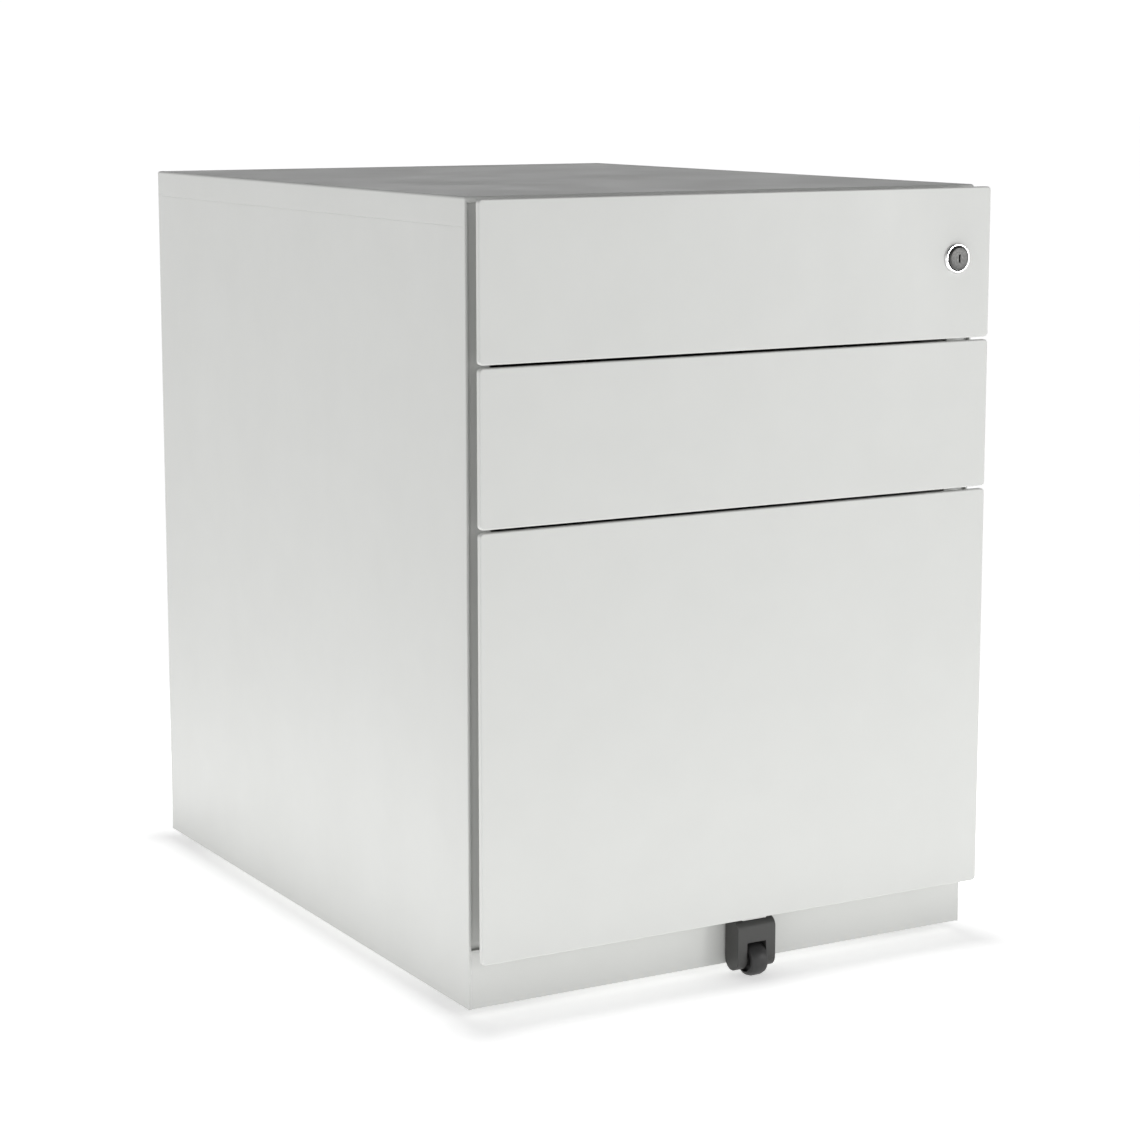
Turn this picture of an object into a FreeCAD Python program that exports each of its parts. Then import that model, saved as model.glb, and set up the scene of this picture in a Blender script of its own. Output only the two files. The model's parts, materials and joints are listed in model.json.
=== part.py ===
import FreeCAD, Part
import Sketcher
import os

# A mobile steel pedestal: two stationery drawers over a filing drawer, in a folded sheet case on
# castors.  +Z is up, the fronts face -Y, +X is to the right seen from the front, and the origin is
# on the floor at the middle of the overall box.  Everything is in millimetres.

DRIVING = {
    # case
    "case_width": 420, "case_depth": 545, "case_height": 557, "floor_gap": 8,
    "steel": 1, "bend": 2, "edge_round": 0.8, "tray_depth": 20, "top_lip": 4, "hem": 10,
    "rear_flange": 15, "plinth_tall": 42, "plinth_return": 10,
    # uprights that carry the slides
    "post_flange": 20, "post_depth": 30, "rear_post_depth": 40, "post_recess": 3,
    # fronts
    "standoff": 20, "front_edge": 4, "front_gap": 2, "top_reveal": 1, "sill": 37,
    "small_pitch": 110, "front_corner": 3, "front_bend": 1, "spacer_gap": 7.5,
    # drawer bodies
    "body_lift": 6, "base_gap": 1, "body_setback": 9, "body_back_gap": 36, "body_steel": 1,
    "small_body_tall": 79, "file_body_drop": 46, "wall_hem": 8, "file_rail_inset": 12,
    "file_rail_thick": 2, "file_rail_tall": 12,
    # slides and their ball cages
    "slide_space": 12.7, "slide_lead": 6, "slide_back_gap": 29, "slide_rise": 3, "rail": 1.2,
    "small_slide_tall": 27, "file_slide_tall": 45, "slide_lap": 10, "inner_tip_gap": 5.4,
    "web_gap": 2, "middle_lap": 6.8, "middle_back_gap": 46, "ball": 1.6, "ball_play": 0.6,
    "ball_inset": 7.6, "ball_pitch": 32, "cage_wide": 3.6, "cage_thick": 0.8, "cage_length": 180,
    "cage_lead": 40, "rivet_head": 3.2, "rivet_proud": 1.2, "rivet_margin": 14,
    "rivet_rear_margin": 7,
    # lock
    "lock_post_gap": 1, "lock_drop": 52, "lock_proud": 3.5, "lock_face": 8.5, "lock_core": 7,
    "lock_shell": 9, "bezel_lip": 2, "bezel_proud": 2, "lock_tail": 6, "lock_nut_wall": 3.5,
    "lock_nut_thick": 4, "cam_thick": 2, "cam_half": 4, "cam_reach": 22, "cam_play": 1,
    "key_slot": 1.3, "key_tall": 6, "key_deep": 2.5, "turn_fit": 0.05,
    # locking bar
    "bar_setback": 12, "bar_thick": 2, "bar_wide": 12, "bar_side": 1, "bar_tail": 20,
    "lug_tall": 6, "lug_reach": 9, "lug_gap": 2, "catch_tall": 6, "catch_rise": 6,
    "catch_gap": 3, "catch_side": 3, "bar_travel": 10, "bar_tab_drop": 2, "bar_tab_thick": 3,
    "bar_tab_wide": 10, "guide_tall": 14, "guide_gap": 28, "window_gap": 1, "cam_window_gap": 2,
    # castors
    "castor_inset": 45, "castor_trail": 12, "castor_wheel": 18, "castor_wheel_gap": 1.5,
    "castor_tread": 7.5, "castor_web": 8.4, "castor_web_inset": 2, "castor_cap": 15,
    "castor_hood": 2.5, "castor_hood_gap": 1, "axle": 2.5, "stem": 5, "stem_plate": 11,
    "stem_plate_thick": 2, "pivot": 4, "pivot_foot": 1, "stem_up": 6.5, "moving_gap": 0.3,
    # castor under the filing front
    "stay_offset": 14, "stay_wide": 32, "stay_deep": 17, "stay_low": 6, "stay_gap": 2,
    "stay_slot": 16, "stay_slot_clear": 1.4, "stay_wheel": 12.3, "stay_wheel_wide": 15,
    "stay_wheel_lift": 1, "stay_set": 1, "stay_plinth_gap": 0.7, "stay_axle": 2,
    "stay_front_round": 6.5, "stay_foot_round": 8.3, "stay_block_wide": 20,
    "stay_block_gap": 0.5, "stay_axle_inset": 3,
}

SHEET = "Sizes"
TOLERANCE = 1e-6    # two coordinates this near are the same
PAST = 1            # how far a cutting tool reaches past the face that it opens

doc = FreeCAD.newDocument("Pedestal")
sheet = doc.addObject("Spreadsheet::Sheet", SHEET)
for row, (alias, number) in enumerate(DRIVING.items(), start=1):
    sheet.set("A%d" % row, alias)
    sheet.set("B%d" % row, str(number))
    sheet.setAlias("B%d" % row, alias)
doc.recompute()


class Size:
    """A length: its number now, and the sheet formula that keeps it."""

    def __init__(self, number, formula):
        self.number = number
        self.formula = formula

    def __add__(self, other):
        other = size_of(other)
        return Size(self.number + other.number, "(%s + %s)" % (self.formula, other.formula))

    def __sub__(self, other):
        other = size_of(other)
        return Size(self.number - other.number, "(%s - %s)" % (self.formula, other.formula))

    def __mul__(self, other):
        other = size_of(other)
        return Size(self.number * other.number, "(%s * %s)" % (self.formula, other.formula))

    def __truediv__(self, other):
        other = size_of(other)
        return Size(self.number / other.number, "(%s / %s)" % (self.formula, other.formula))

    def __neg__(self):
        return Size(-self.number, "(0 - %s)" % self.formula)


def size_of(value):
    """A Size as it is, or a plain number as one."""
    if isinstance(value, Size):
        return value
    if value < 0:
        return Size(value, "(0 - %s)" % -value)
    return Size(value, str(value))


def cell(alias):
    """The driving size that the sheet keeps under this alias."""
    return Size(float(getattr(sheet, alias)), "%s.%s" % (SHEET, alias))


# ---- helpers that make bound document objects ----

TURN_FOR = {"X": FreeCAD.Rotation(FreeCAD.Vector(0, 1, 0), 90),
            "Y": FreeCAD.Rotation(FreeCAD.Vector(1, 0, 0), -90),
            "Z": FreeCAD.Rotation()}
nodes = []


def place(thing, x, y, z, rotation=None):
    """Bind an object's place to the sheet."""
    spot = [size_of(x), size_of(y), size_of(z)]
    corner = FreeCAD.Vector(*[size.number for size in spot])
    thing.Placement = FreeCAD.Placement(corner, rotation or FreeCAD.Rotation())
    for axis, size in zip("xyz", spot):
        thing.setExpression("Placement.Base." + axis, size.formula)


def box(name, x, y, z):
    """A block between the low and high values of each axis."""
    thing = doc.addObject("Part::Box", name)
    for side, (low, high) in zip(("Length", "Width", "Height"), (x, y, z)):
        thing.setExpression(side, (size_of(high) - low).formula)
    place(thing, x[0], y[0], z[0])
    return thing


def rod(name, axis, x, y, z, radius):
    """A cylinder along one axis; that axis is given as a low and high pair."""
    thing = doc.addObject("Part::Cylinder", name)
    spot = {"X": x, "Y": y, "Z": z}
    low, high = spot[axis]
    spot[axis] = low
    thing.setExpression("Radius", size_of(radius).formula)
    thing.setExpression("Height", (size_of(high) - low).formula)
    place(thing, spot["X"], spot["Y"], spot["Z"], TURN_FOR[axis])
    return thing


def hexagon(name, x, y, z, radius):
    """A hexagonal prism along Y, between the low and high y; the radius is that of its corners."""
    thing = doc.addObject("Part::Prism", name)
    thing.Polygon = 6
    thing.setExpression("Circumradius", radius.formula)
    thing.setExpression("Height", (y[1] - y[0]).formula)
    place(thing, x, y[0], z, TURN_FOR["Y"])
    return thing


def ball(name, x, y, z, radius):
    thing = doc.addObject("Part::Sphere", name)
    thing.setExpression("Radius", radius.formula)
    place(thing, x, y, z)
    return thing


def fuse(name, *pieces):
    thing = doc.addObject("Part::MultiFuse", name)
    thing.Shapes = list(pieces)
    return thing


def cut(name, base, *tools):
    """The base with every tool taken out of it."""
    thing = doc.addObject("Part::Cut", name)
    thing.Base = base
    thing.Tool = tools[0] if len(tools) == 1 else fuse(name + "_tools", *tools)
    return thing


def node(label, *pieces):
    """Name a finished piece, or gather equal pieces under one name."""
    thing = pieces[0]
    if len(pieces) > 1:
        thing = doc.addObject("Part::Compound", label + "_set")
        thing.Links = list(pieces)
    thing.Label = label
    nodes.append(thing)
    return thing


def edges_at(shape, wanted):
    """Names of the edges whose ends lie on the wanted coordinates, such as {"x": 5, "z": 0}."""
    names = []
    for number, edge in enumerate(shape.Edges, start=1):
        ends = [vertex.Point for vertex in edge.Vertexes]
        off = [abs(getattr(end, axis) - value) for end in ends for axis, value in wanted.items()]
        if max(off) < TOLERANCE:
            names.append("Edge%d" % number)
    return names


def outline(sketch, corners):
    """A closed outline of straight runs, each corner tied to the sheet."""
    spots = [(size_of(across), size_of(up)) for across, up in corners]
    points = [FreeCAD.Vector(across.number, up.number, 0) for across, up in spots]
    for index, point in enumerate(points):
        sketch.addGeometry(Part.LineSegment(point, points[(index + 1) % len(points)]), False)
    origin, start, end = (-1, 1), 1, 2
    for index in range(len(points)):
        following = (index + 1) % len(points)
        sketch.addConstraint(Sketcher.Constraint("Coincident", index, end, following, start))
    for index, (across, up) in enumerate(spots):
        for word, size in (("DistanceX", across), ("DistanceY", up)):
            tie = Sketcher.Constraint(word, *origin, index, start, size.number)
            number = sketch.addConstraint(tie)
            sketch.setExpression("Constraints[%d]" % number, size.formula)


def folded(name, plane, corners, length, at, rounds=()):
    """A body padded from an outline on one origin plane; XZ pads towards -Y."""
    body = doc.addObject("PartDesign::Body", name)
    sketch = body.newObject("Sketcher::SketchObject", name + "_outline")
    origin_plane = [item for item in body.Origin.OriginFeatures if item.Role == plane + "_Plane"]
    sketch.AttachmentSupport = [(origin_plane[0], "")]
    sketch.MapMode = "FlatFace"
    outline(sketch, corners)
    pad = body.newObject("PartDesign::Pad", name + "_pad")
    pad.Profile = sketch
    pad.setExpression("Length", size_of(length).formula)
    sketch.Visibility = False
    doc.recompute()
    last = pad
    for number, (radius, wanted) in enumerate(rounds, start=1):
        picked = [edge for spot in wanted for edge in edges_at(last.Shape, spot)]
        fillet = body.newObject("PartDesign::Fillet", "%s_round_%d" % (name, number))
        fillet.Base = (last, sorted(set(picked)))
        fillet.setExpression("Radius", radius.formula)
        doc.recompute()
        last = fillet
    body.Tip = last
    place(body, *at)
    return body


def rectangle(across, up):
    return [(across[0], up[0]), (across[1], up[0]), (across[1], up[1]), (across[0], up[1])]


def mirrored(side, corners):
    """The same outline for the right (1) or the left (-1)."""
    return [(size_of(across) * side, up) for across, up in corners]


def ordered(first, second):
    """Two sizes, the lower one first."""
    return (first, second) if first.number < second.number else (second, first)


SIDES = {"right": 1, "left": -1}

# ---- shared positions ----

steel = cell("steel")
half_wide = cell("case_width") / 2
stay_wheel_set = cell("standoff") - cell("stay_plinth_gap") - cell("stay_wheel")
wheel_reach = cell("stay_wheel") - stay_wheel_set
front_face = wheel_reach - (cell("case_depth") + cell("standoff") + wheel_reach) / 2
case_front = front_face + cell("standoff")
case_back = case_front + cell("case_depth")
case_low = cell("floor_gap")
case_top = case_low + cell("case_height")
tray_low = case_top - cell("tray_depth")
base_top = case_low + cell("plinth_tall")
hem_inside = half_wide - steel * 2
post_inside = half_wide - cell("post_flange")
drawer_half = post_inside - cell("slide_space")
back_inside = case_back - steel * 2
fronts_low = case_low + cell("sill")
fronts_top = case_top - cell("top_reveal")
middle_line = fronts_top - cell("small_pitch") * 2
top_line = fronts_top - cell("small_pitch")
half_gap = cell("front_gap") / 2
body_front = case_front + cell("body_setback")
body_back = case_back - cell("body_back_gap")
body_steel = cell("body_steel")
slide_front = case_front + cell("slide_lead")
slide_back = case_back - cell("slide_back_gap")
ball_gap = cell("ball") * 2 + cell("ball_play")
moving_gap = cell("moving_gap")

bar_front = case_front + cell("bar_setback")
bar_back = bar_front + cell("bar_thick")
bar_inner = post_inside + steel + cell("bar_side")
bar_outer = bar_inner + cell("bar_wide")
lug_tip = post_inside - cell("lug_reach")
catch_front = bar_back + cell("catch_gap")

lock_x = post_inside - cell("lock_post_gap") - cell("lock_shell")
lock_z = case_top - cell("lock_drop")
lock_end = case_front + cell("lock_tail")
lock_bore = cell("lock_core") + cell("turn_fit")
lock_nut_round = cell("lock_shell") + cell("lock_nut_wall")
spacer_half = lock_x - lock_nut_round - cell("spacer_gap")

DRAWERS = {
    "top": {"front": (top_line + half_gap, fronts_top), "slide": cell("small_slide_tall")},
    "middle": {"front": (middle_line + half_gap, top_line - half_gap),
               "slide": cell("small_slide_tall")},
    "file": {"front": (fronts_low, middle_line - half_gap), "slide": cell("file_slide_tall")},
}
for drawer_name, spec in DRAWERS.items():
    if drawer_name == "file":
        spec["low"] = base_top + cell("base_gap") + cell("body_lift")
        spec["high"] = spec["front"][1] - cell("file_body_drop")
    else:
        spec["low"] = spec["front"][0] + cell("body_lift")
        spec["high"] = spec["low"] + cell("small_body_tall")
    spec["slide_low"] = spec["low"] + cell("slide_rise")
    spec["slide_high"] = spec["slide_low"] + spec["slide"]
    spec["catch_low"] = spec["slide_high"] + cell("catch_rise")
    spec["lug_low"] = spec["catch_low"] + cell("catch_tall") + cell("lug_gap")


# ---- case ----

def top_panel():
    """A shallow tray, open downwards, with its bent edges rounded and room for the front posts."""
    wide, deep, tall = half_wide, cell("case_depth"), cell("tray_depth")
    x, y, top = wide.number, deep.number, tall.number
    corners = [{"x": sx * x, "y": sy} for sx in (1, -1) for sy in (0, y)]
    rim = [{"x": x, "z": top}, {"x": -x, "z": top}, {"y": 0, "z": top}, {"y": y, "z": top}]
    shell = folded("top_panel_shell", "XY", rectangle((-wide, wide), (0, deep)), tall,
                   (0, case_front, tray_low), [(cell("bend"), rim), (cell("edge_round"), corners)])
    hollow = box("top_panel_hollow", (steel - wide, wide - steel),
                 (case_front + steel, case_back - steel), (tray_low - PAST, case_top - steel))
    notches = [box("top_panel_notch_" + word, ordered(post_inside * side, hem_inside * side),
                   (case_front - PAST, case_front + steel),
                   (tray_low - PAST, case_top - cell("top_lip")))
               for word, side in SIDES.items()]
    node("top_panel", cut("top_panel", shell, hollow, *notches))


def side_panel(word, side):
    """A wall with a hem at the front and a flange at the back."""
    front, back = 0, cell("case_depth")
    corners = [(half_wide, front), (half_wide, back), (half_wide - cell("rear_flange"), back),
               (half_wide - cell("rear_flange"), back - steel), (half_wide - steel, back - steel),
               (half_wide - steel, cell("hem")), (hem_inside, cell("hem")), (hem_inside, front)]
    x = side * half_wide.number
    outer_edges = [{"x": x, "y": 0}, {"x": x, "y": back.number}]
    node("side_panel_" + word,
         folded("side_panel_" + word, "XY", mirrored(side, corners), tray_low - case_low,
                (0, case_front, case_low), [(cell("edge_round"), outer_edges)]))


def back_panel():
    node("back_panel", box("back_panel", (-hem_inside, hem_inside),
                           (back_inside, case_back - steel), (case_low, case_top - steel)))


def base_plate():
    plate = box("base_sheet", (-hem_inside, hem_inside), (case_front + steel, back_inside),
                (base_top - steel, base_top))
    through = (base_top - steel - PAST, base_top + PAST)
    holes = [rod("base_hole_" + word, "Z", x, y, through, cell("stem"))
             for word, (x, y) in CASTOR_SPOTS.items()]
    node("base_plate", cut("base_plate", plate, *holes))


def plinth():
    """The strip below the filing front, with a return along its foot."""
    corners = [(0, 0), (cell("plinth_return"), 0), (cell("plinth_return"), steel), (steel, steel),
               (steel, cell("plinth_tall")), (0, cell("plinth_tall"))]
    body = folded("plinth", "YZ", corners, hem_inside * 2, (-hem_inside, case_front, case_low),
                  [(cell("edge_round"), [{"y": 0, "z": 0}])])
    node("plinth", body)


def front_uprights():
    """Angle posts behind the fronts; the right one has windows for the locking bar."""
    flange, depth = cell("post_recess"), cell("post_recess") + cell("post_depth")
    corners = [(hem_inside, flange), (post_inside, flange), (post_inside, depth),
               (post_inside + steel, depth), (post_inside + steel, flange + steel),
               (hem_inside, flange + steel)]
    tall = case_top - steel - base_top
    posts = {word: folded("front_post_" + word, "XY", mirrored(side, corners), tall,
                          (0, case_front, base_top)) for word, side in SIDES.items()}
    gap = cell("window_gap")
    window_x = (post_inside - PAST, post_inside + steel + PAST)
    window_y = (case_front + flange + steel, bar_back + gap)
    windows = [box("post_window_" + name, window_x, window_y,
                   (spec["lug_low"] - cell("bar_travel") - gap, spec["lug_low"] + cell("lug_tall") + gap))
               for name, spec in DRAWERS.items()]
    gap = cell("cam_window_gap")
    windows.append(box("post_window_cam", window_x, window_y,
                       (lock_z - cell("cam_half") - gap, lock_z + cell("cam_reach") + gap)))
    node("front_uprights", cut("front_post_cut", posts["right"], *windows), posts["left"])


def rear_uprights():
    depth = cell("rear_post_depth")
    corners = [(hem_inside, depth), (post_inside, depth), (post_inside, 0),
               (post_inside + steel, 0), (post_inside + steel, depth - steel),
               (hem_inside, depth - steel)]
    tall = case_top - steel - base_top
    posts = [folded("rear_post_" + word, "XY", mirrored(side, corners), tall,
                    (0, back_inside - depth, base_top)) for word, side in SIDES.items()]
    node("rear_uprights", *posts)


# ---- slides ----

def channel(name, side, back, tip, low, high, front, end):
    """A C-section rail: its web at back, its lips reaching to tip."""
    gauge = cell("rail")
    web = back + gauge if tip.number > back.number else back - gauge
    corners = [(back, low), (back, high), (tip, high), (tip, high - gauge), (web, high - gauge),
               (web, low + gauge), (tip, low + gauge), (tip, low)]
    return folded(name, "XZ", mirrored(side, corners), end - front, (0, end, 0))


def rail_pair(label, back, tip, low, high, front, end):
    node(label, *[channel(label + "_" + word, side, back, tip, low, high, front, end)
                  for word, side in SIDES.items()])


def ball_cages(label, heights, front):
    """Strips with balls, above and below a rail on both sides."""
    centre = post_inside - cell("ball_inset")
    half, half_thick = cell("cage_wide") / 2, cell("cage_thick") / 2
    first = front + cell("ball_pitch") / 2
    count = int(cell("cage_length").number // cell("ball_pitch").number)
    strips = []
    for word, side in SIDES.items():
        for row_name, height in zip(("upper", "lower"), heights):
            name = "%s_%s_%s" % (label, word, row_name)
            across = ordered((centre - half) * side, (centre + half) * side)
            strip = box(name + "_strip", across, (front, front + cell("cage_length")),
                        (height - half_thick, height + half_thick))
            balls = [ball("%s_ball_%d" % (name, index), centre * side,
                          first + cell("ball_pitch") * index, height, cell("ball"))
                     for index in range(count)]
            strips.append(fuse(name, strip, *balls))
    node(label, *strips)


def slides(name, spec):
    """The rails and ball cages of one drawer."""
    low, high = spec["slide_low"], spec["slide_high"]
    lip, gap = cell("rail"), ball_gap
    rail_pair(name + "_slide_outer", post_inside, post_inside - cell("slide_lap"), low, high,
              slide_front, slide_back)
    inner_low, inner_high = low + lip + gap, high - lip - gap
    cage_front = slide_front + cell("cage_lead")
    heights = (high - lip - gap / 2, low + lip + gap / 2)
    if name == "file":
        web = post_inside - lip - cell("web_gap")
        rail_pair("file_slide_middle", web, web - cell("middle_lap"), inner_low, inner_high,
                  body_front, case_back - cell("middle_back_gap"))
        ball_cages("file_outer_ball_cages", heights, cage_front)
        heights = (inner_high - lip - gap / 2, inner_low + lip + gap / 2)
        inner_low, inner_high = inner_low + lip + gap, inner_high - lip - gap
        ball_cages("file_inner_ball_cages", heights, cage_front)
    else:
        ball_cages(name + "_ball_cages", heights, cage_front)
    rail_pair(name + "_slide_inner", drawer_half, post_inside - cell("inner_tip_gap"), inner_low,
              inner_high, body_front, body_back)


def slide_rivets():
    """Rivet heads that hold the outer rails to the uprights."""
    heads = []
    web = post_inside - cell("rail")
    for name, spec in DRAWERS.items():
        height = (spec["slide_low"] + spec["slide_high"]) / 2
        for word, side in SIDES.items():
            across = ordered((web - cell("rivet_proud")) * side, web * side)
            for end, y in (("front", slide_front + cell("rivet_margin")),
                           ("rear", slide_back - cell("rivet_rear_margin"))):
                heads.append(rod("rivet_%s_%s_%s" % (name, word, end), "X", across, y, height,
                                 cell("rivet_head")))
    node("slide_rivets", *heads)


# ---- drawers ----

def front_panel(name, spec):
    """A shallow folded pan with rounded corners; the top one has the lock's hole."""
    low, high = spec["front"]
    edge = cell("front_edge")
    x, front = half_wide.number, -edge.number
    tall = high - low
    corners = [{"x": sx * x, "z": z} for sx in (1, -1) for z in (0, tall.number)]
    pan = folded(name + "_front_pan", "XZ", rectangle((-half_wide, half_wide), (0, tall)), edge,
                 (0, front_face + edge, low),
                 [(cell("front_corner"), corners), (cell("front_bend"), [{"y": front}])])
    tools = [box(name + "_front_hollow", (steel - half_wide, half_wide - steel),
                 (front_face + steel, front_face + edge + PAST), (low + steel, high - steel))]
    if name == "top":
        tools.append(rod("top_front_lock_hole", "Y", lock_x, (front_face - PAST, front_face + edge),
                         lock_z, cell("lock_shell")))
    node(name + "_front_panel", cut(name + "_front_panel", pan, *tools))


def front_spacer(name, spec):
    """The box that stands the front off the drawer and leaves room for fingers at each side."""
    low, high = spec["low"], spec["high"]
    shell = box(name + "_spacer_shell", (-spacer_half, spacer_half),
                (front_face + steel, body_front), (low, high))
    hollow = box(name + "_spacer_hollow", (body_steel - spacer_half, spacer_half - body_steel),
                 (front_face, body_front - body_steel), (low + body_steel, high - body_steel))
    node(name + "_front_spacer", cut(name + "_front_spacer", shell, hollow))


def hemmed(outer, inner, hem_out, low, high):
    """The section of a drawer wall, its top edge doubled outwards."""
    fold = high - cell("wall_hem")
    return [(outer, low), (outer, fold), (hem_out, fold), (hem_out, high), (inner, high), (inner, low)]


def drawer_body(name, spec):
    """The walls and bottom of one drawer, and the catch that the locking bar holds."""
    low, high = spec["low"], spec["high"]
    inside = drawer_half - body_steel
    section = hemmed(drawer_half, inside, drawer_half + body_steel, low, high)
    walls = [folded("%s_wall_%s" % (name, word), "XZ", mirrored(side, section),
                    body_back - body_front, (0, body_back, 0)) for word, side in SIDES.items()]
    catch = box(name + "_catch", (drawer_half, post_inside - cell("catch_side")),
                (catch_front, catch_front + cell("bar_thick")),
                (spec["catch_low"], spec["catch_low"] + cell("catch_tall")))
    node(name + "_drawer_sides", *walls, catch)
    floor = low + body_steel
    ends = []
    for word, outer, inner in (("front", body_front, body_front + body_steel),
                               ("back", body_back, body_back - body_steel)):
        end = [(outer, floor), (outer, high), (inner, high), (inner, floor)]
        ends.append(folded("%s_end_%s" % (name, word), "YZ", end, inside * 2, (-inside, 0, 0)))
    node(name + "_end_walls", *ends)
    node(name + "_drawer_bottom", box(name + "_drawer_bottom", (-inside, inside),
                                      (body_front, body_back), (low, floor)))


def file_rails():
    """Bars that hanging folders hook over."""
    top = DRAWERS["file"]["high"]
    outer = drawer_half - cell("file_rail_inset")
    inner = outer - cell("file_rail_thick")
    bars = [box("file_rail_" + word, ordered(inner * side, outer * side),
                (body_front + body_steel, body_back - body_steel), (top - cell("file_rail_tall"), top))
            for word, side in SIDES.items()]
    node("file_rails", *bars)


# ---- lock and locking bar ----

def lock():
    """A cam lock through the top front, with the bar that holds all three drawers."""
    face = front_face
    shell = rod("lock_housing_shell", "Y", lock_x, (face, lock_end), lock_z, cell("lock_shell"))
    bore = rod("lock_housing_bore", "Y", lock_x, (face - PAST, lock_end + PAST), lock_z, lock_bore)
    node("lock_housing", cut("lock_housing", shell, bore))
    ring_y = face - cell("bezel_proud")
    ring = rod("lock_bezel_ring", "Y", lock_x, (ring_y, face), lock_z,
               cell("lock_shell") + cell("bezel_lip"))
    ring_bore = rod("lock_bezel_bore", "Y", lock_x, (ring_y - PAST, face + PAST), lock_z,
                    cell("lock_face") + cell("turn_fit") * 2)
    node("lock_bezel", cut("lock_bezel", ring, ring_bore))
    nut_y = (face + steel, face + steel + cell("lock_nut_thick"))
    nut = hexagon("lock_nut_block", lock_x, nut_y, lock_z, lock_nut_round)
    nut_bore = rod("lock_nut_bore", "Y", lock_x, (nut_y[0] - PAST, nut_y[1] + PAST), lock_z,
                   cell("lock_shell"))
    node("lock_nut", cut("lock_nut", nut, nut_bore))
    head_y = face - cell("lock_proud")
    head = rod("lock_head", "Y", lock_x, (head_y, face - moving_gap), lock_z, cell("lock_face"))
    core_end = lock_end + moving_gap
    core = rod("lock_core_rod", "Y", lock_x, (head_y + PAST, core_end), lock_z, cell("lock_core"))
    slot = box("lock_key_slot", (lock_x - cell("key_slot") / 2, lock_x + cell("key_slot") / 2),
               (head_y - PAST, head_y + cell("key_deep")),
               (lock_z - cell("key_tall") / 2, lock_z + cell("key_tall") / 2))
    node("lock_barrel", cut("lock_barrel", fuse("lock_barrel_solid", head, core), slot))
    cam_y = (core_end, core_end + cell("cam_thick"))
    cam_half = cell("cam_half")
    hub = rod("lock_cam_hub", "Y", lock_x, cam_y, lock_z, cell("lock_core"))
    arm = box("lock_cam_arm", (lock_x - cam_half, lock_x + cam_half), cam_y,
              (lock_z, lock_z + cell("cam_reach") - cam_half))
    tip = rod("lock_cam_tip", "Y", lock_x, cam_y, lock_z + cell("cam_reach") - cam_half, cam_half)
    node("lock_cam", fuse("lock_cam", hub, arm, tip))


def locking_bar():
    """A flat bar with a lug per drawer and a tab that the cam sits on; it runs in two guides."""
    tab_top = lock_z - cell("cam_half") + cell("bar_travel") - cell("cam_play")
    bar_low = DRAWERS["file"]["lug_low"] - cell("bar_tail")
    bar_high = tab_top + cell("bar_tab_drop")
    strip = box("lock_bar_strip", (bar_inner, bar_outer), (bar_front, bar_back), (bar_low, bar_high))
    lugs = [box("lock_lug_" + name, (lug_tip, bar_outer), (bar_front, bar_back),
                (spec["lug_low"], spec["lug_low"] + cell("lug_tall")))
            for name, spec in DRAWERS.items()]
    tab = box("lock_bar_tab", (bar_outer - cell("bar_tab_wide"), bar_outer),
              (lock_end, bar_back), (tab_top - cell("bar_tab_thick"), tab_top))
    node("lock_bar", fuse("lock_bar", strip, *lugs, tab))
    guides = []
    wall = cell("bar_thick")
    guide_lows = {"top": DRAWERS["top"]["lug_low"] - cell("bar_travel") - cell("guide_gap"),
                  "file": DRAWERS["file"]["lug_low"] + cell("lug_tall") + cell("guide_gap")}
    for name, low in guide_lows.items():
        high = low + cell("guide_tall")
        block = box("guide_block_" + name, (post_inside + steel, bar_outer + wall),
                    (bar_front - wall, bar_back + wall), (low, high))
        slot = box("guide_slot_" + name, (bar_inner - moving_gap, bar_outer + moving_gap),
                   (bar_front - moving_gap, bar_back + moving_gap), (low - PAST, high + PAST))
        guides.append(cut("guide_" + name, block, slot))
    node("lock_bar_guides", *guides)


# ---- castors ----

castor_x = half_wide - cell("castor_inset")
CASTOR_SPOTS = {
    "front_left": (-castor_x, case_front + cell("castor_inset")),
    "front_right": (castor_x, case_front + cell("castor_inset")),
    "rear_left": (-castor_x, case_back - cell("castor_inset")),
    "rear_right": (castor_x, case_back - cell("castor_inset")),
}
stem_foot = base_top - steel - cell("stem_plate_thick")
cap_top = stem_foot - moving_gap
wheel_clear = cell("castor_wheel") * 2 + cell("castor_wheel_gap")
axle_bore = cell("axle") + cell("turn_fit")


def castor_stems():
    """Threaded stems with a plate under the base and a pin that each castor swivels on."""
    stems = []
    for word, (x, y) in CASTOR_SPOTS.items():
        thread = rod("stem_thread_" + word, "Z", x, y, (stem_foot, base_top - steel + cell("stem_up")),
                     cell("stem"))
        plate = rod("stem_plate_" + word, "Z", x, y, (stem_foot, base_top - steel), cell("stem_plate"))
        pin = rod("stem_pin_" + word, "Z", x, y, (wheel_clear + cell("pivot_foot"), stem_foot),
                  cell("pivot"))
        stems.append(fuse("stem_" + word, thread, plate, pin))
    node("castor_stems", *stems)


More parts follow.
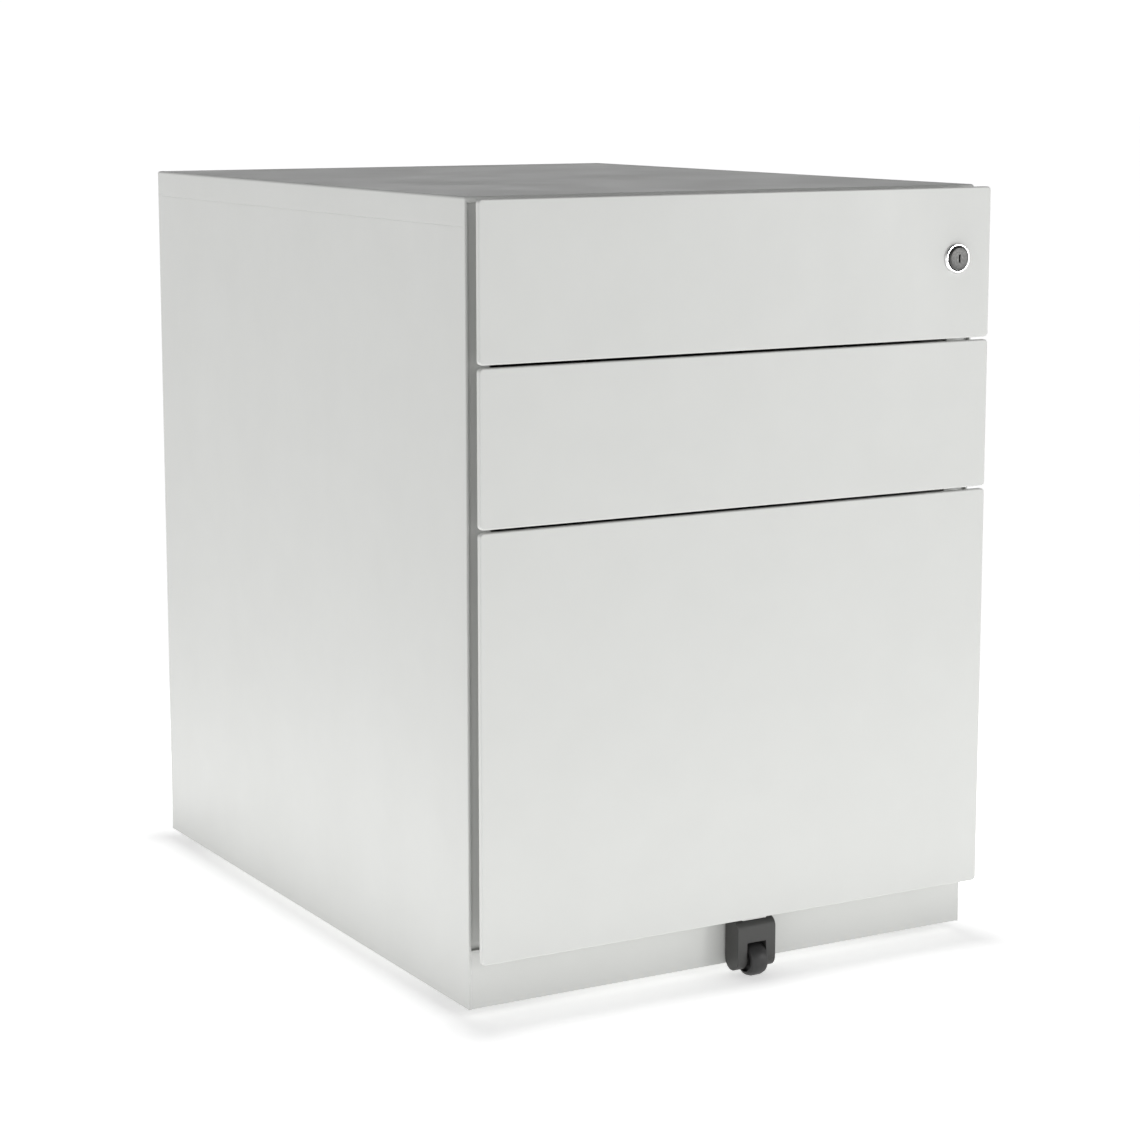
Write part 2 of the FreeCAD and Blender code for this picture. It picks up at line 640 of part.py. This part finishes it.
def castor(word, x, y):
    """A twin-wheel castor: a hooded housing, its axle and its pair of wheels."""
    axle_y = y + cell("castor_trail")
    axle_z = cell("castor_wheel")
    half_web = cell("castor_web") / 2
    wheel_in = half_web + moving_gap
    wheel_out = wheel_in + cell("castor_tread")
    name = "castor_" + word
    cap = rod(name + "_cap", "Z", x, y, (wheel_clear, cap_top), cell("castor_cap"))
    web = rod(name + "_web", "X", (x - half_web, x + half_web), axle_y, axle_z,
              cell("castor_wheel") - cell("castor_web_inset"))
    neck = box(name + "_neck", (x - half_web, x + half_web),
               (y - cell("castor_cap") / 2, axle_y), (axle_z, wheel_clear + PAST))
    hood_in = cell("castor_wheel") + cell("castor_hood_gap")
    hood_out = hood_in + cell("castor_hood")
    hood = rod(name + "_hood", "X", (x - wheel_out, x + wheel_out), axle_y, axle_z, hood_out)
    wide_left, wide_right = x - wheel_out - PAST, x + wheel_out + PAST
    wide_out = hood_out + PAST
    hollow_right = rod(name + "_hollow_right", "X", (x + half_web, wide_right), axle_y, axle_z, hood_in)
    hollow_left = rod(name + "_hollow_left", "X", (wide_left, x - half_web), axle_y, axle_z, hood_in)
    below = box(name + "_below", (wide_left, wide_right), (axle_y - wide_out, axle_y + wide_out),
                (axle_z - wide_out, axle_z))
    behind = box(name + "_behind", (wide_left, wide_right),
                 (axle_y + cell("castor_trail"), axle_y + wide_out), (axle_z - PAST, cap_top))
    shade = cut(name + "_shade", hood, hollow_right, hollow_left, below, behind)
    pivot_hole = rod(name + "_pivot_hole", "Z", x, y, (axle_z + cell("castor_wheel"), cap_top + PAST),
                     cell("pivot") + cell("turn_fit"))
    axle_hole = rod(name + "_axle_hole", "X", (x - half_web - PAST, x + half_web + PAST), axle_y,
                    axle_z, cell("axle"))
    solid = fuse(name + "_solid", cap, web, neck, shade)
    node(name + "_housing", cut(name + "_housing", solid, pivot_hole, axle_hole))
    node(name + "_axle", rod(name + "_axle", "X", (x - wheel_out, x + wheel_out), axle_y, axle_z,
                             cell("axle")))
    wheels = []
    for hand, side in SIDES.items():
        span = ordered(x + wheel_in * side, x + wheel_out * side)
        tyre = rod("%s_tyre_%s" % (name, hand), "X", span, axle_y, axle_z, cell("castor_wheel"))
        bore = rod("%s_bore_%s" % (name, hand), "X", (span[0] - PAST, span[1] + PAST), axle_y,
                   axle_z, axle_bore)
        wheels.append(cut("%s_wheel_%s" % (name, hand), tyre, bore))
    node(name + "_wheels", *wheels)


def stay_castor():
    """The castor under the filing front that keeps the pedestal from tipping."""
    x = cell("stay_offset")
    half = cell("stay_wide") / 2
    low, high = cell("stay_low"), fronts_low - cell("stay_gap")
    front = front_face + cell("stay_set")
    back = front + cell("stay_deep")
    axle_y = front_face + stay_wheel_set
    axle_z = cell("stay_wheel") + cell("stay_wheel_lift")
    y, tall = -cell("stay_deep").number, (high - low).number
    shell = folded("stay_shell", "XZ", rectangle((-half, half), (0, high - low)), cell("stay_deep"),
                   (x, back, low),
                   [(cell("stay_front_round"), [{"y": y, "z": tall}]),
                    (cell("stay_foot_round"), [{"y": y, "z": 0}, {"y": 0, "z": 0}])])
    half_slot = cell("stay_slot") / 2
    slot_top = axle_z + cell("stay_wheel") + cell("stay_slot_clear")
    slot = box("stay_slot_cut", (x - half_slot, x + half_slot), (front - PAST, back + PAST),
               (low - PAST, slot_top))
    reach = half - cell("stay_axle_inset")
    axle_hole = rod("stay_axle_hole", "X", (x - reach, x + reach), axle_y, axle_z, cell("stay_axle"))
    node("anti_tilt_housing", cut("anti_tilt_housing", shell, slot, axle_hole))
    node("anti_tilt_axle", rod("anti_tilt_axle", "X", (x - reach, x + reach), axle_y, axle_z,
                               cell("stay_axle")))
    half_wheel = cell("stay_wheel_wide") / 2
    tyre = rod("stay_tyre", "X", (x - half_wheel, x + half_wheel), axle_y, axle_z, cell("stay_wheel"))
    bore = rod("stay_bore", "X", (x - half_wheel - PAST, x + half_wheel + PAST), axle_y, axle_z,
               cell("stay_axle") + cell("turn_fit"))
    node("anti_tilt_wheel", cut("anti_tilt_wheel", tyre, bore))
    half_block = cell("stay_block_wide") / 2
    block_front = front_face + cell("front_edge") + cell("stay_block_gap")
    node("anti_tilt_bracket",
         box("anti_tilt_bracket", (x - half_block, x + half_block), (block_front, back),
             (high, DRAWERS["file"]["low"])))


# ---- build ----

top_panel()
for word, side in SIDES.items():
    side_panel(word, side)
back_panel()
base_plate()
plinth()
front_uprights()
rear_uprights()
for drawer_name, spec in DRAWERS.items():
    front_panel(drawer_name, spec)
    front_spacer(drawer_name, spec)
    drawer_body(drawer_name, spec)
    slides(drawer_name, spec)
slide_rivets()
file_rails()
lock()
locking_bar()
castor_stems()
for word, (x, y) in CASTOR_SPOTS.items():
    castor(word, x, y)
stay_castor()
doc.recompute()

# ---- check, then write each piece ----

failed = [item.Label for item in doc.Objects if "Invalid" in item.State or "Error" in item.State]
if failed:
    raise RuntimeError("objects that did not build: " + ", ".join(failed))
for item in nodes:
    if item.Shape.isNull() or not item.Shape.isValid() or not item.Shape.Solids:
        raise RuntimeError("no sound solid in " + item.Label)

os.makedirs("parts", exist_ok=True)
for item in nodes:
    item.Shape.exportStep("parts/%s.step" % item.Label)
print("%d pieces written" % len(nodes))
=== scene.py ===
import json
import math

import bmesh
import bpy
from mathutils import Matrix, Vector


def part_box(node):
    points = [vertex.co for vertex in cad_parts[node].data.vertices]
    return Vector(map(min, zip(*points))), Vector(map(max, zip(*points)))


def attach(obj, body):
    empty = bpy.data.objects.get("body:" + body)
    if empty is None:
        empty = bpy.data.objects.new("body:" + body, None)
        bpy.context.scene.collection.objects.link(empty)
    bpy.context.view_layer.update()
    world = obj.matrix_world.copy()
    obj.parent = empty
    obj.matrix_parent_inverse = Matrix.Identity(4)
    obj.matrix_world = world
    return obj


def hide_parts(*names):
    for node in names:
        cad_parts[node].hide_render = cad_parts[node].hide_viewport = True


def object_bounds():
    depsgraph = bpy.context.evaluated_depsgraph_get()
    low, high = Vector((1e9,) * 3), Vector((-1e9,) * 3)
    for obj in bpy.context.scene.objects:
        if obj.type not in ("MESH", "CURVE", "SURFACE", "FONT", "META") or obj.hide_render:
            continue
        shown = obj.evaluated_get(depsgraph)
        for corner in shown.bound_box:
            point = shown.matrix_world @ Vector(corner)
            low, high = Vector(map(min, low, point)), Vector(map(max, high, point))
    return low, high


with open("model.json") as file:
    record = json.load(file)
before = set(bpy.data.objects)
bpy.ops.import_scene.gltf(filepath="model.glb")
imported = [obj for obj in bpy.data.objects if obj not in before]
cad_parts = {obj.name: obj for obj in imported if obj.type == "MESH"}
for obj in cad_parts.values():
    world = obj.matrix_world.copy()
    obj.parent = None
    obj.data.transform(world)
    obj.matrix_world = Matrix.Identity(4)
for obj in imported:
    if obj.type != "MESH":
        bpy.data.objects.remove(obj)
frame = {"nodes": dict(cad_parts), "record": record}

cad_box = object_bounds()
nodes = frame["nodes"]

# A steel pedestal with three drawers, in a white studio.  Lengths are in metres, in the frame of
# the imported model: +Z up, the fronts face -Y, the origin is on the floor under the middle.
MM = 0.001

# ---- camera ----
CAMERA_AT = Vector((-1.0728, -1.912, 0.6475))
CAMERA_HEADING = math.radians(29.71)    # from +Y towards +X
CAMERA_TILT = math.radians(8.94)        # below the horizon
LENS = 89.0
SHIFT_DOWN = 0.05

# ---- colours, linear ----
CASE_GREY = (0.665, 0.672, 0.652)
FRONT_GREY = (0.665, 0.672, 0.652)
DRAWER_GREY = (0.63, 0.636, 0.618)
ZINC = (0.62, 0.63, 0.64)
STEEL = (0.50, 0.50, 0.51)
CHROME = (0.82, 0.82, 0.82)
LOCK_DARK = (0.10, 0.10, 0.098)
NYLON = (0.78, 0.77, 0.73)
HOUSING_BLACK = (0.050, 0.050, 0.048)
TYRE_BLACK = (0.030, 0.030, 0.030)
FLOOR_WHITE = (0.90, 0.90, 0.90)
# painted highlight: the pale colour laid along rounded edges, in place of light caught by the bends
PAINTED_EDGE_HIGHLIGHT = (0.90, 0.905, 0.89)

# ---- sizes of the redrawn pieces, as the CAD model has them ----
BEZEL_BORE = 8.6 * MM
SHANK_RADIUS = 7.0 * MM
KEY_SLOT = Vector((1.3, 2.5, 6.0)) * MM     # wide, deep, tall
AXIS_HOLE = 0.4 * MM                        # left down the core's axis, inside the key slot
CASTOR_TREAD = 7.5 * MM
CASTOR_BORE = 2.56 * MM
STAY_BORE = 2.06 * MM


# ---- material helpers ----

def new_material(name):
    """A node material with its shader; returns the material, its node tree and the shader."""
    material = bpy.data.materials.new(name)
    material.use_nodes = True
    tree = material.node_tree
    return material, tree, tree.nodes["Principled BSDF"]


def add_node(tree, kind, **values):
    """A node with some of its inputs set by name; an underscore stands for a space."""
    made = tree.nodes.new(kind)
    for key, value in values.items():
        made.inputs[key.replace("_", " ")].default_value = value
    return made


def noise(tree, coordinates, scale, detail):
    """The grey value of a noise texture."""
    made = add_node(tree, "ShaderNodeTexNoise", Scale=scale, Detail=detail, Roughness=0.55)
    tree.links.new(coordinates, made.inputs["Vector"])
    return made.outputs["Fac"]


def stretched(tree, scale):
    """Object coordinates drawn out along one or more axes."""
    source = tree.nodes.new("ShaderNodeTexCoord").outputs["Object"]
    mapping = add_node(tree, "ShaderNodeMapping")
    mapping.inputs["Scale"].default_value = scale
    tree.links.new(source, mapping.inputs["Vector"])
    return mapping.outputs["Vector"]


def spread(tree, source, low, high, source_low=0.3, source_high=0.7):
    """Map a noise to a range of values."""
    made = tree.nodes.new("ShaderNodeMapRange")
    for key, value in zip(("From Min", "From Max", "To Min", "To Max"),
                          (source_low, source_high, low, high)):
        made.inputs[key].default_value = value
    tree.links.new(source, made.inputs["Value"])
    return made.outputs["Result"]


def two_tone(tree, factor, first, second):
    """A colour between two, by a factor."""
    ramp = tree.nodes.new("ShaderNodeValToRGB")
    ramp.color_ramp.elements[0].color = (*first, 1)
    ramp.color_ramp.elements[1].color = (*second, 1)
    tree.links.new(factor, ramp.inputs["Fac"])
    return ramp.outputs["Color"]


def shade(colour, amount):
    """A colour made darker or lighter."""
    return tuple(min(1.0, channel * amount) for channel in colour)


def rounded_normal(tree, radius):
    """The surface normal with sharp edges rounded off."""
    return add_node(tree, "ShaderNodeBevel", Radius=radius).outputs["Normal"]


def bumped(tree, shader, height, strength, distance, normal):
    """Relief from a height, on top of a normal."""
    bump = add_node(tree, "ShaderNodeBump", Strength=strength, Distance=distance)
    tree.links.new(height, bump.inputs["Height"])
    tree.links.new(normal, bump.inputs["Normal"])
    tree.links.new(bump.outputs["Normal"], shader.inputs["Normal"])


def edge_mask(tree, normal):
    """One on a rounded-off edge, nought on a flat: how far the rounded normal leans."""
    geometry = tree.nodes.new("ShaderNodeNewGeometry")
    dot = tree.nodes.new("ShaderNodeVectorMath")
    dot.operation = "DOT_PRODUCT"
    tree.links.new(normal, dot.inputs[0])
    tree.links.new(geometry.outputs["True Normal"], dot.inputs[1])
    return spread(tree, dot.outputs["Value"], low=1.0, high=0.0, source_low=0.86, source_high=0.985)


# ---- materials ----

def powder_coat(name, colour, peel=0.10):
    """Baked powder paint: orange peel, faint mottling, soft gloss and a painted highlight along the
    edges.
    """
    material, tree, shader = new_material(name)
    plain = stretched(tree, (1, 1, 1))
    mottle = noise(tree, plain, scale=26, detail=4)
    tone = two_tone(tree, mottle, shade(colour, 0.972), shade(colour, 1.022))
    normal = rounded_normal(tree, 0.5 * MM)
    # Painted highlight: rounded edges are mixed towards a pale colour, broken into patches, in place of
    # light caught by the bends.
    highlight_patches = spread(tree, noise(tree, plain, scale=420, detail=3), low=0.30, high=0.75,
                     source_low=0.40, source_high=0.65)
    painted_highlight = tree.nodes.new("ShaderNodeMath")
    painted_highlight.operation = "MULTIPLY"
    tree.links.new(edge_mask(tree, normal), painted_highlight.inputs[0])
    tree.links.new(highlight_patches, painted_highlight.inputs[1])
    mix = tree.nodes.new("ShaderNodeMix")
    mix.data_type = "RGBA"
    first_colour, second_colour, mixed_colour = 6, 7, 2
    tree.links.new(painted_highlight.outputs[0], mix.inputs["Factor"])
    tree.links.new(tone, mix.inputs[first_colour])
    mix.inputs[second_colour].default_value = (*PAINTED_EDGE_HIGHLIGHT, 1)
    tree.links.new(mix.outputs[mixed_colour], shader.inputs["Base Color"])
    wipe = noise(tree, stretched(tree, (5, 5, 1.4)), scale=3.2, detail=5)
    tree.links.new(spread(tree, wipe, low=0.36, high=0.48), shader.inputs["Roughness"])
    shader.inputs["Specular IOR Level"].default_value = 0.42
    peel_coarse = noise(tree, plain, scale=620, detail=2)
    peel_fine = noise(tree, plain, scale=1900, detail=2)
    fine_share = 0.45
    total = tree.nodes.new("ShaderNodeMath")
    total.operation = "MULTIPLY_ADD"
    tree.links.new(peel_fine, total.inputs[0])
    total.inputs[1].default_value = fine_share
    tree.links.new(peel_coarse, total.inputs[2])
    bumped(tree, shader, total.outputs[0], strength=peel, distance=0.25 * MM, normal=normal)
    return material


def zinc_plate(name, colour, roughness=0.34):
    """Rolled strip with a bright zinc coat: drawn lines along its length and cloudy passivation."""
    material, tree, shader = new_material(name)
    clouds = noise(tree, stretched(tree, (1, 1, 1)), scale=55, detail=4)
    tone = two_tone(tree, clouds, shade(colour, 0.86), shade(colour, 1.06))
    tree.links.new(tone, shader.inputs["Base Color"])
    shader.inputs["Metallic"].default_value = 1.0
    lines = noise(tree, stretched(tree, (1, 0.02, 1)), scale=1500, detail=2)
    tree.links.new(spread(tree, lines, roughness - 0.06, roughness + 0.08), shader.inputs["Roughness"])
    bumped(tree, shader, lines, strength=0.12, distance=0.05 * MM,
           normal=rounded_normal(tree, 0.25 * MM))
    return material


def turned_metal(name, colour, roughness):
    """Plated or polished metal with faint polishing marks."""
    material, tree, shader = new_material(name)
    marks = noise(tree, stretched(tree, (1, 1, 1)), scale=900, detail=4)
    tree.links.new(two_tone(tree, marks, shade(colour, 0.93), colour), shader.inputs["Base Color"])
    shader.inputs["Metallic"].default_value = 1.0
    tree.links.new(spread(tree, marks, roughness * 0.8, roughness * 1.3), shader.inputs["Roughness"])
    bumped(tree, shader, marks, strength=0.05, distance=0.02 * MM,
           normal=rounded_normal(tree, 0.2 * MM))
    return material


def moulded_plastic(name, colour, roughness, grain=0.3):
    """Injection-moulded plastic with a fine sparked grain and slight flow marks."""
    material, tree, shader = new_material(name)
    flow = noise(tree, stretched(tree, (1, 1, 0.3)), scale=60, detail=3)
    tree.links.new(two_tone(tree, flow, shade(colour, 0.9), shade(colour, 1.15)),
                   shader.inputs["Base Color"])
    fine = noise(tree, stretched(tree, (1, 1, 1)), scale=2600, detail=2)
    tree.links.new(spread(tree, flow, roughness - 0.05, roughness + 0.07), shader.inputs["Roughness"])
    shader.inputs["Specular IOR Level"].default_value = 0.45
    bumped(tree, shader, fine, strength=grain, distance=0.06 * MM,
           normal=rounded_normal(tree, 0.6 * MM))
    return material


MATERIALS = {
    "case_paint": powder_coat("case_paint", CASE_GREY),
    "front_paint": powder_coat("front_paint", FRONT_GREY),
    "drawer_paint": powder_coat("drawer_paint", DRAWER_GREY, peel=0.08),
    "zinc_steel": zinc_plate("zinc_steel", ZINC),
    "ball_cage": zinc_plate("ball_cage", STEEL, roughness=0.26),
    "axle_steel": turned_metal("axle_steel", STEEL, roughness=0.30),
    "lock_chrome": turned_metal("lock_chrome", CHROME, roughness=0.12),
    "lock_core": turned_metal("lock_core", LOCK_DARK, roughness=0.36),
    "guide_plastic": moulded_plastic("guide_plastic", NYLON, roughness=0.42),
    "wheel_plastic": moulded_plastic("wheel_plastic", TYRE_BLACK, roughness=0.42, grain=0.2),
    "castor_plastic": moulded_plastic("castor_plastic", HOUSING_BLACK, roughness=0.46),
}


def dress_cad_nodes():
    """Give every carried-over CAD node the material of its slot."""
    for part in frame["record"]["subparts"]:
        thing = nodes[part["node"]]
        thing.data.materials.clear()
        thing.data.materials.append(MATERIALS[part["material_slot"]])


# ---- shape helpers ----

def body_of(node):
    """The body that a CAD node rides on."""
    bodies = frame["record"]["behaviour"]["bodies"]
    return next(body for body, members in bodies.items() if node in members)


def finish_piece(name, mesh, slot, replaced, bevel, segments=3):
    """Link a mesh, smooth and bevel it, and put it in the place of a CAD node."""
    piece = bpy.data.objects.new(name, mesh)
    bpy.context.scene.collection.objects.link(piece)
    mesh.materials.append(MATERIALS[slot])
    for face in mesh.polygons:
        face.use_smooth = True
    rounding = piece.modifiers.new("edges", "BEVEL")
    rounding.width = bevel
    rounding.segments = segments
    rounding.limit_method = "ANGLE"
    rounding.angle_limit = math.radians(30)
    rounding.harden_normals = True
    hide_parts(replaced)
    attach(piece, body_of(replaced))
    return piece


def lathe(bm, profile, centre, axis, steps):
    """Turn a closed profile of (radius, along) points about an axis through the centre."""
    along = Vector((1, 0, 0)) if axis == "X" else Vector((0, 1, 0))
    first = Vector((0, 0, 1))
    second = along.cross(first)
    rings = []
    for step in range(steps):
        turn = 2 * math.pi * step / steps
        out = first * math.cos(turn) + second * math.sin(turn)
        rings.append([bm.verts.new(centre + out * radius + along * place) for radius, place in profile])
    count = len(profile)
    for step in range(steps):
        here, there = rings[step], rings[(step + 1) % steps]
        for index in range(count):
            other = (index + 1) % count
            bm.faces.new((here[index], here[other], there[other], there[index]))


def closed_mesh(name, bm):
    """A mesh from the shape, with its faces turned outwards."""
    bmesh.ops.recalc_face_normals(bm, faces=bm.faces)
    mesh = bpy.data.meshes.new(name)
    bm.to_mesh(mesh)
    bm.free()
    return mesh


def middle(node):
    """The middle of a node's box."""
    low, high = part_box(node)
    return (low + high) / 2


def block(name, size, centre):
    """A plain box in the scene."""
    bm = bmesh.new()
    bmesh.ops.create_cube(bm, size=1)
    for vert in bm.verts:
        vert.co = vert.co * size + centre
    made = bpy.data.objects.new(name, closed_mesh(name, bm))
    bpy.context.scene.collection.objects.link(made)
    return made


def bake_modifiers(piece):
    """Keep the shape that the modifiers make, and drop the modifiers."""
    bpy.context.view_layer.update()
    graph = bpy.context.evaluated_depsgraph_get()
    mesh = bpy.data.meshes.new_from_object(piece.evaluated_get(graph))
    piece.modifiers.clear()
    piece.data = mesh


# ---- pieces ----

def lock_ring():
    """The bright collar round the lock: a flat flange with a rolled lip."""
    low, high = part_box("lock_bezel")
    centre = middle("lock_bezel")
    outer, inner = (high.x - low.x) / 2, BEZEL_BORE
    back, front = high.y - centre.y, low.y - centre.y
    flange, slope, lip, lip_deep = 0.7 * MM, 0.9 * MM, 0.7 * MM, 0.6 * MM
    profile = [(outer, back), (outer, back - flange), (outer - slope, front),
               (inner + lip, front), (inner, front + lip_deep), (inner, back)]
    bm = bmesh.new()
    lathe(bm, profile, centre, "Y", steps=96)
    finish_piece("lock_ring", closed_mesh("lock_ring", bm), "lock_chrome", "lock_bezel",
                 bevel=0.25 * MM)


def lock_plug():
    """The turning core: a domed face with a key slot down into it, and the shank behind."""
    low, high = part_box("lock_barrel")
    centre = middle("lock_barrel")
    face = (high.x - low.x) / 2
    front, back = low.y - centre.y, high.y - centre.y
    head = front + 3.0 * MM
    rim, rim_drop, dome, dome_drop = 0.9 * MM, 0.9 * MM, 2.4 * MM, 0.15 * MM
    profile = [(AXIS_HOLE, back), (SHANK_RADIUS, back), (SHANK_RADIUS, head), (face, head),
               (face, front + rim_drop), (face - rim, front + dome_drop), (face - dome, front),
               (AXIS_HOLE, front)]
    bm = bmesh.new()
    lathe(bm, profile, centre, "Y", steps=96)
    piece = finish_piece("lock_plug", closed_mesh("lock_plug", bm), "lock_core", "lock_barrel",
                         bevel=0.2 * MM)
    size = Vector((KEY_SLOT.x, KEY_SLOT.y * 2, KEY_SLOT.z))     # half of it stands out in front
    cutter = block("key_slot", size, Vector((centre.x, low.y, centre.z)))
    slot = piece.modifiers.new("slot", "BOOLEAN")
    slot.object = cutter
    slot.operation = "DIFFERENCE"
    piece.modifiers.move(1, 0)
    bake_modifiers(piece)
    bpy.data.objects.remove(cutter)


def wheel_profile(radius, bore, half):
    """A moulded wheel: crowned tread, rounded shoulders and a recessed web with a raised hub."""
    hub = bore + 2.6 * MM
    rim = radius * 0.78
    dish = half * 0.45
    hub_taper, rim_taper = 0.5 * MM, 0.6 * MM
    rim_drop, tread_drop = 0.2 * MM, 0.1 * MM
    edge_low, knee_low = half * 0.5, half * 0.15            # below the full radius
    knee_in, tread_in = half * 0.1575, half * 0.56          # in from the wheel's side
    right = [(bore, half), (hub, half), (hub + hub_taper, half - dish), (rim - rim_taper, half - dish),
             (rim, half - rim_drop), (radius - edge_low, half - tread_drop),
             (radius - knee_low, half - knee_in), (radius, half - tread_in)]
    return right + [(out, -along) for out, along in reversed(right)]


def wheel(name, replaced, spans, bore):
    """One or two wheels on an axle along X; spans are their low and high x."""
    low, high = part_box(replaced)
    radius = (high.z - low.z) / 2
    centre = middle(replaced)
    bm = bmesh.new()
    for near, far in spans:
        at = Vector(((near + far) / 2, centre.y, centre.z))
        lathe(bm, wheel_profile(radius, bore, (far - near) / 2), at, "X", steps=72)
    finish_piece(name, closed_mesh(name, bm), "wheel_plastic", replaced,
                 bevel=0.3 * MM, segments=2)


def wheels():
    """The twin wheels of the four castors, and the single one under the filing front."""
    for end in ("front_left", "front_right", "rear_left", "rear_right"):
        replaced = "castor_%s_wheels" % end
        low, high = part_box(replaced)
        spans = [(low.x, low.x + CASTOR_TREAD), (high.x - CASTOR_TREAD, high.x)]
        wheel("castor_%s_rollers" % end, replaced, spans, CASTOR_BORE)
    low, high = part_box("anti_tilt_wheel")
    wheel("anti_tilt_roller", "anti_tilt_wheel", [(low.x, high.x)], STAY_BORE)


# ---- stage, light and camera ----

def grey(level):
    """An opaque grey."""
    return (level, level, level, 1)


def distance_outside(tree, corner):
    """How far a point of the floor lies outside the object's footprint, in metres."""
    found = tree.nodes.new("ShaderNodeTexCoord").outputs["Object"]
    steps = (("ABSOLUTE", None), ("SUBTRACT", (corner.x, corner.y, 0)), ("MAXIMUM", (0, 0, 0)),
             ("LENGTH", None))
    for operation, other in steps:
        step = tree.nodes.new("ShaderNodeVectorMath")
        step.operation = operation
        tree.links.new(found, step.inputs[0])
        if other is not None:
            step.inputs[1].default_value = other
        found = step.outputs["Value" if operation == "LENGTH" else "Vector"]
    return found


def floor():
    """A white sheet that glows: least under the object, a painted contact shadow, and most just round
    it, a glowing band that lights the cabinet's foot.
    """
    reach = 30.0
    mesh = bpy.data.meshes.new("floor")
    mesh.from_pydata([(-reach, -reach, 0), (reach, -reach, 0), (reach, reach, 0), (-reach, reach, 0)],
                     [], [(0, 1, 2, 3)])
    ground = bpy.data.objects.new("floor", mesh)
    bpy.context.scene.collection.objects.link(ground)
    material, tree, shader = new_material("floor")
    shader.inputs["Base Color"].default_value = (*FLOOR_WHITE, 1)
    shader.inputs["Roughness"].default_value = 0.9
    shader.inputs["Specular IOR Level"].default_value = 0.1
    # Painted contact shadow: the glow is lowest at the footprint and rises over 13 cm; the brighter
    # band beyond stands in for lamplight.
    glow = tree.nodes.new("ShaderNodeValToRGB")
    stops = glow.color_ramp.elements
    stops[0].position, stops[1].position = 0.0, 0.60
    stops[0].color, stops[1].color = grey(0.50), grey(0.77)
    for place, level in ((0.13, 1.55), (0.30, 1.45)):
        stops.new(place).color = grey(level)
    tree.links.new(distance_outside(tree, cad_box[1]), glow.inputs["Fac"])
    tree.links.new(glow.outputs["Color"], shader.inputs["Emission Color"])
    shader.inputs["Emission Strength"].default_value = 1.0
    mesh.materials.append(material)


def sky():
    """A bright band round the horizon that dims overhead, as in a low-lit studio tent."""
    world = bpy.data.worlds.new("studio")
    bpy.context.scene.world = world
    world.use_nodes = True
    tree = world.node_tree
    background = tree.nodes["Background"]
    direction = tree.nodes.new("ShaderNodeTexCoord").outputs["Generated"]
    split = tree.nodes.new("ShaderNodeSeparateXYZ")
    tree.links.new(direction, split.inputs["Vector"])
    ramp = tree.nodes.new("ShaderNodeValToRGB")
    horizon, overhead = ramp.color_ramp.elements
    horizon.position, overhead.position = 0.05, 0.62
    horizon.color, overhead.color = grey(1.03), (0.155, 0.155, 0.158, 1)
    tree.links.new(split.outputs["Z"], ramp.inputs["Fac"])
    tree.links.new(ramp.outputs["Color"], background.inputs["Color"])
    background.inputs["Strength"].default_value = 1.0


def softbox(name, at, target, wide, tall, power):
    """A rectangular light in metres and watts, turned to its target."""
    light = bpy.data.lights.new(name, "AREA")
    light.shape = "RECTANGLE"
    light.size, light.size_y = wide, tall
    light.energy = power
    lamp = bpy.data.objects.new(name, light)
    bpy.context.scene.collection.objects.link(lamp)
    lamp.location = at
    lamp.rotation_mode = "QUATERNION"
    lamp.rotation_quaternion = (Vector(target) - Vector(at)).to_track_quat("-Z", "Y")


def lights():
    """A key light from the front right and a soft one from the left, both low."""
    low, high = cad_box
    target = (0, 0, low.z + (high.z - low.z) * 0.1)     # near the foot of the cabinet
    softbox("front_box", (1.15, -1.60, 0.50), target, wide=0.32, tall=0.32, power=4.2)
    softbox("left_box", (-1.45, -0.1, 0.25), target, wide=1.4, tall=0.3, power=0.7)


def camera():
    """From the front left, a little above the top, looking slightly down."""
    data = bpy.data.cameras.new("camera")
    data.lens = LENS
    data.shift_y = -SHIFT_DOWN
    eye = bpy.data.objects.new("camera", data)
    bpy.context.scene.collection.objects.link(eye)
    eye.location = CAMERA_AT
    eye.rotation_euler = (math.pi / 2 - CAMERA_TILT, 0, -CAMERA_HEADING)
    bpy.context.scene.camera = eye


camera()
sky()
lights()
floor()
dress_cad_nodes()
lock_ring()
lock_plug()
wheels()

scene = bpy.context.scene
scene.view_settings.view_transform = "Standard"
scene.view_settings.look = "None"
